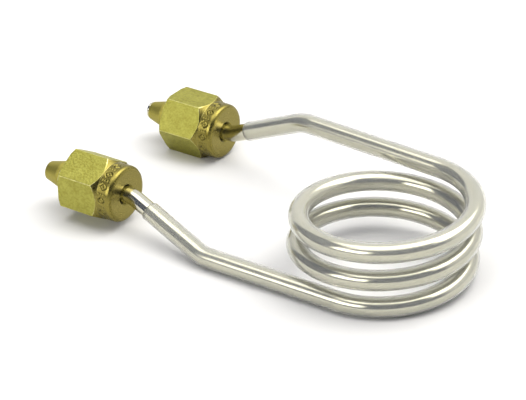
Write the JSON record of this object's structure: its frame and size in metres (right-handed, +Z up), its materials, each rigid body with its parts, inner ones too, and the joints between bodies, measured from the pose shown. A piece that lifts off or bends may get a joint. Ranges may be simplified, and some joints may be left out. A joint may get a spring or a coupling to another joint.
{
  "type": "tube coil with compression nuts",
  "caption": "Small wound metal tube coil in a clear sleeve, with two leads that each end in a loose brass nut and a conical ferrule.",
  "frame": {"origin": "middle of the bounding box in plan, on the surface that the coil and the nuts lie on", "axes": "+X runs along the leads from the nuts to the coil, +Z is up, and +Y points to the back lead, the one that leaves the top of the coil"},
  "size_m": [0.0855, 0.0448, 0.0168],
  "materials": {
    "tube_metal": "bright drawn tube",
    "sleeve_plastic": "clear shrunk film",
    "nut_brass": "machined, slightly dull",
    "ferrule_brass": "turned, darker"
  },
  "bodies": {
    "coil": {"coil_tube": "tube_metal", "clear_sleeve": "sleeve_plastic", "front_cone_ferrule": "ferrule_brass", "back_cone_ferrule": "ferrule_brass"},
    "front_ring": {"front_nut_ring": "ferrule_brass"},
    "front_nut": {"front_nut": "nut_brass"},
    "back_ring": {"back_nut_ring": "ferrule_brass"},
    "back_nut": {"back_nut": "nut_brass"}
  },
  "joints": [
    {"name": "front_nut_slide", "type": "slide", "parent": "coil", "child": "front_ring", "axis": [-1, 0, 0], "range_m": [0, 0.0081]},
    {"name": "front_nut_spin", "type": "hinge", "parent": "front_ring", "child": "front_nut", "pos_m": [-0.0304, -0.016, 0.00641], "axis": [1, 0, 0], "continuous": true},
    {"name": "back_nut_slide", "type": "slide", "parent": "coil", "child": "back_ring", "axis": [-1, 0, 0], "range_m": [0, 0.0077]},
    {"name": "back_nut_spin", "type": "hinge", "parent": "back_ring", "child": "back_nut", "pos_m": [-0.03055, 0.016, 0.00556], "axis": [1, 0, 0], "continuous": true}
  ]
}
